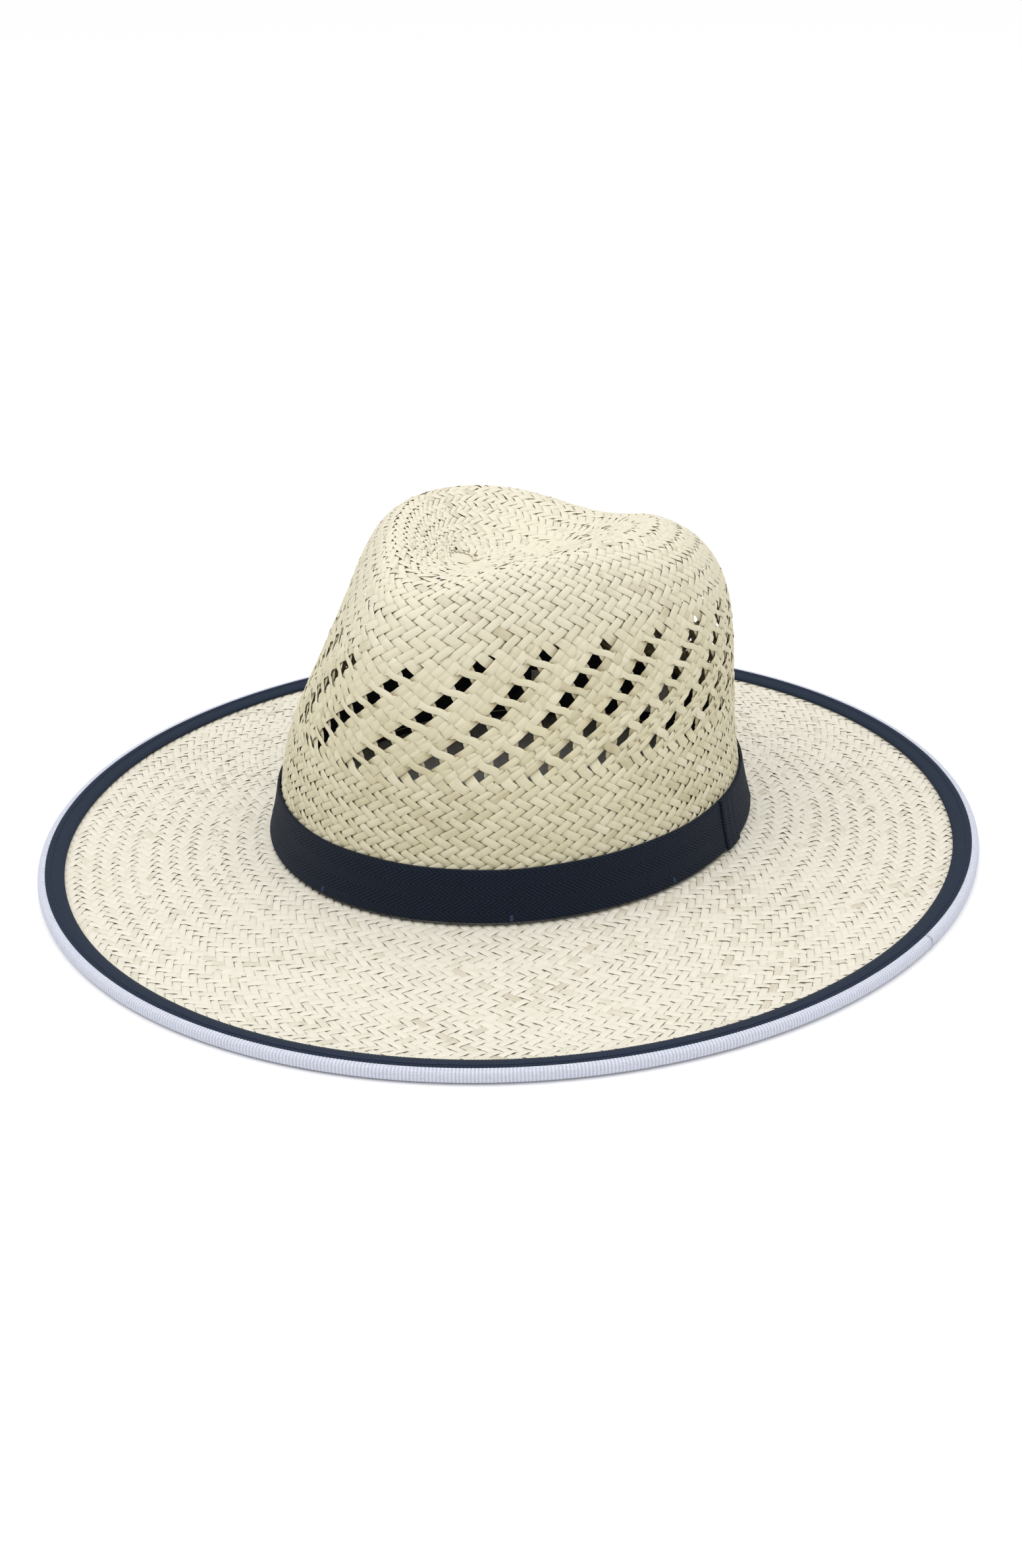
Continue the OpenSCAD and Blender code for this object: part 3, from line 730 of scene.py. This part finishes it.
# ------------------------------------------------------ finishes for the CAD pieces that stay
def cloth_material(name, base, deep, scale, roughness, strength):
    mat, nodes, links, shader = new_material(name, roughness)
    place = nodes.new("ShaderNodeTexCoord")
    noise = nodes.new("ShaderNodeTexNoise")
    noise.inputs["Scale"].default_value = scale
    noise.inputs["Detail"].default_value = 4.0
    links.new(place.outputs["Object"], noise.inputs["Vector"])
    ramp = ramp_node(nodes, [(0.3, deep), (0.7, base)])
    links.new(noise.outputs["Fac"], ramp.inputs["Fac"])
    links.new(ramp.outputs["Color"], shader.inputs["Base Color"])
    bump = nodes.new("ShaderNodeBump")
    bump.inputs["Strength"].default_value = strength
    bump.inputs["Distance"].default_value = 0.0002
    links.new(noise.outputs["Fac"], bump.inputs["Height"])
    links.new(bump.outputs["Normal"], shader.inputs["Normal"])
    return mat


def finish_cad(material, *names):
    for name in names:
        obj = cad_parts[name]
        for slot in obj.material_slots:
            slot.link = "OBJECT"
            slot.material = material
        if not obj.material_slots:
            obj.data.materials.append(material)


SWEAT_CLOTH = cloth_material("dark_sweatband_cloth", linear(44, 45, 52), linear(26, 27, 33), 900.0, 0.85, 0.5)
NAVY_THREAD = cloth_material("navy_thread", linear(40, 54, 88), linear(24, 34, 60), 1800.0, 0.8, 0.4)
PALE_THREAD = cloth_material("pale_thread", linear(226, 220, 204), linear(200, 193, 176), 1800.0, 0.8, 0.4)
LABEL_CLOTH = cloth_material("label_satin", linear(238, 237, 232), linear(222, 220, 214), 1500.0, 0.5, 0.3)
WIRE_STEEL = cloth_material("wire_steel", linear(176, 178, 182), linear(150, 152, 158), 700.0, 0.35, 0.1)
finish_cad(SWEAT_CLOTH, "sweatband", "sweatband_join_tape")
finish_cad(NAVY_THREAD, "ribbon_stitching", "band_tack_stitches")
finish_cad(PALE_THREAD, "crown_seam_stitching", "binding_stitching", "sweatband_stitching", "label_stitches",
           "care_label_tab")
finish_cad(LABEL_CLOTH, "brand_label", "size_label", "care_label")
finish_cad(WIRE_STEEL, "brim_wire", "wire_joiner")

# ------------------------------------------------------------------ camera
CAM_AZ, CAM_EL, CAM_ROLL = math.radians(34.0), math.radians(24.68), math.radians(-0.67)
CAM_DIST, CAM_TX, CAM_TY = 0.900, 0.0006, -0.0090
CAM_LENS = 78.77            # millimetres


def make_camera():
    back = Vector((math.sin(CAM_AZ) * math.cos(CAM_EL), -math.cos(CAM_AZ) * math.cos(CAM_EL),
                   math.sin(CAM_EL)))
    right = Vector((math.cos(CAM_AZ), math.sin(CAM_AZ), 0.0))
    up = back.cross(right)
    place = Vector((0, 0, JOINT_Z / 1000)) + back * CAM_DIST - right * CAM_TX - up * CAM_TY
    roll = Matrix.Rotation(CAM_ROLL, 3, back)
    axes = Matrix((roll @ right, roll @ up, back)).transposed()
    data = bpy.data.cameras.new("camera")
    data.sensor_fit = "HORIZONTAL"
    data.sensor_width = 36.0
    data.lens = CAM_LENS
    data.clip_start, data.clip_end = 0.05, 20.0
    cam = bpy.data.objects.new("camera", data)
    cam.matrix_world = Matrix.Translation(place) @ axes.to_4x4()
    bpy.context.scene.collection.objects.link(cam)
    bpy.context.scene.camera = cam


FLOOR_HALF = 8.0                    # half the side of the floor, in metres
SKY_LOW, SKY_RISE = 0.42, 1.2       # brightness of the world at the horizon, and its rise to the zenith


def area_light(name, place, aim, size, power, colour):
    data = bpy.data.lights.new(name, "AREA")
    data.shape = "RECTANGLE"
    data.size, data.size_y = size
    data.energy = power
    data.color = colour
    lamp = bpy.data.objects.new(name, data)
    lamp.location = place
    lamp.rotation_mode = "QUATERNION"
    lamp.rotation_quaternion = (Vector(aim) - Vector(place)).to_track_quat("-Z", "Y")
    bpy.context.scene.collection.objects.link(lamp)


def make_stage():
    area_light("key_light", (-0.55, -0.75, 1.15), (0, 0, 0.03), (1.1, 1.1), 4.5, (1.0, 0.985, 0.96))
    area_light("top_light", (0.25, 0.35, 1.3), (0, 0, 0.05), (1.4, 1.0), 2.5, (1.0, 1.0, 1.0))
    area_light("side_light", (1.15, -0.35, 0.55), (0, 0, 0.05), (0.9, 0.9), 1.5, (1.0, 0.99, 0.98))
    world = bpy.data.worlds.new("studio")
    bpy.context.scene.world = world
    world.use_nodes = True
    sky, wires = world.node_tree.nodes, world.node_tree.links
    where = sky.new("ShaderNodeTexCoord")
    split = sky.new("ShaderNodeSeparateXYZ")
    wires.new(where.outputs["Generated"], split.inputs[0])
    square = sky.new("ShaderNodeMath")
    square.operation = "MULTIPLY"
    wires.new(split.outputs["Z"], square.inputs[0])
    wires.new(split.outputs["Z"], square.inputs[1])
    glow = sky.new("ShaderNodeMath")
    glow.operation = "MULTIPLY_ADD"
    glow.inputs[1].default_value = SKY_RISE
    glow.inputs[2].default_value = SKY_LOW
    wires.new(square.outputs["Value"], glow.inputs[0])
    wires.new(glow.outputs["Value"], sky["Background"].inputs["Strength"])
    sky["Background"].inputs["Color"].default_value = (1.0, 1.0, 1.0, 1)
    bpy.context.scene.view_settings.view_transform = "Standard"
    s = FLOOR_HALF
    mesh = bpy.data.meshes.new("floor")
    mesh.from_pydata([(-s, -s, 0), (s, -s, 0), (s, s, 0), (-s, s, 0)], [], [(0, 1, 2, 3)])
    floor = bpy.data.objects.new("floor", mesh)
    bpy.context.scene.collection.objects.link(floor)
    mat, _, _, shader = new_material("floor_white", 0.9)
    shader.inputs["Base Color"].default_value = (0.98, 0.98, 0.98, 1)
    mesh.materials.append(mat)
    floor.location.z = -0.0004


make_camera()
make_stage()
